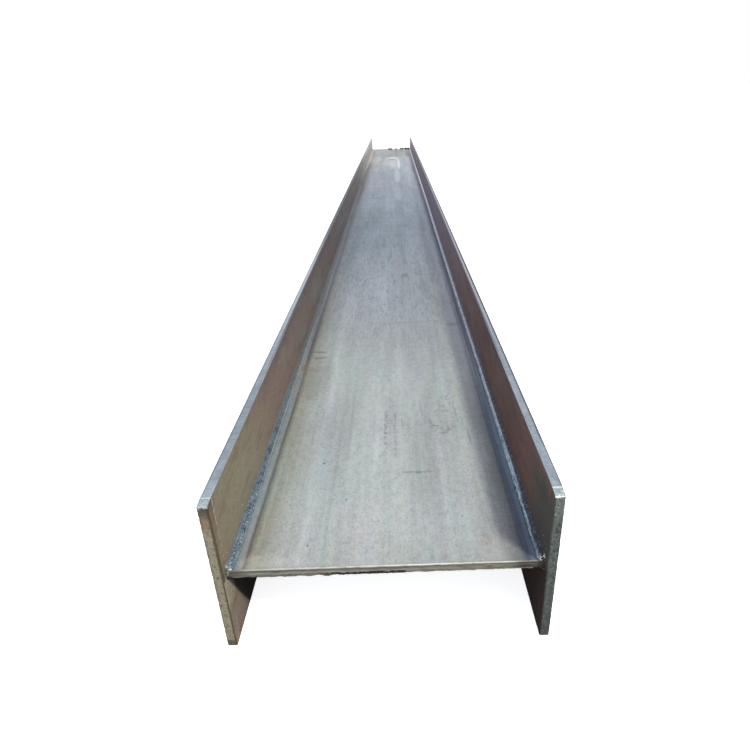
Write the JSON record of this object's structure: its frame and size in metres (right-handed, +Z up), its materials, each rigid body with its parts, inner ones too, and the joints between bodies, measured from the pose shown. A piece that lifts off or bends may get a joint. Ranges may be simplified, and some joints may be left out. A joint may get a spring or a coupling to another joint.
{
  "type": "welded steel h-beam",
  "caption": "Long welded steel H-beam: two upright flange plates joined by a level web plate, with a fillet weld along each inner corner.",
  "frame": {"origin": "on the floor under the middle of the beam, halfway along its length and halfway between the flanges", "axes": "+Y along the beam's length, +X across the section from flange to flange, +Z up, along the flange width"},
  "size_m": [0.45, 6, 0.25],
  "materials": {
    "web_steel": "hot-rolled plate with a thin grey mill scale",
    "flange_steel": "hot-rolled plate with mill scale and light brown rust, gas-cut edges",
    "weld_metal": "as-welded bead with blue-grey heat tint"
  },
  "bodies": {
    "root": {"web_plate": "web_steel", "flange_plate_left": "flange_steel", "flange_plate_right": "flange_steel", "fillet_weld_upper_left": "weld_metal", "fillet_weld_upper_right": "weld_metal", "fillet_weld_lower_left": "weld_metal", "fillet_weld_lower_right": "weld_metal"}
  },
  "joints": []
}
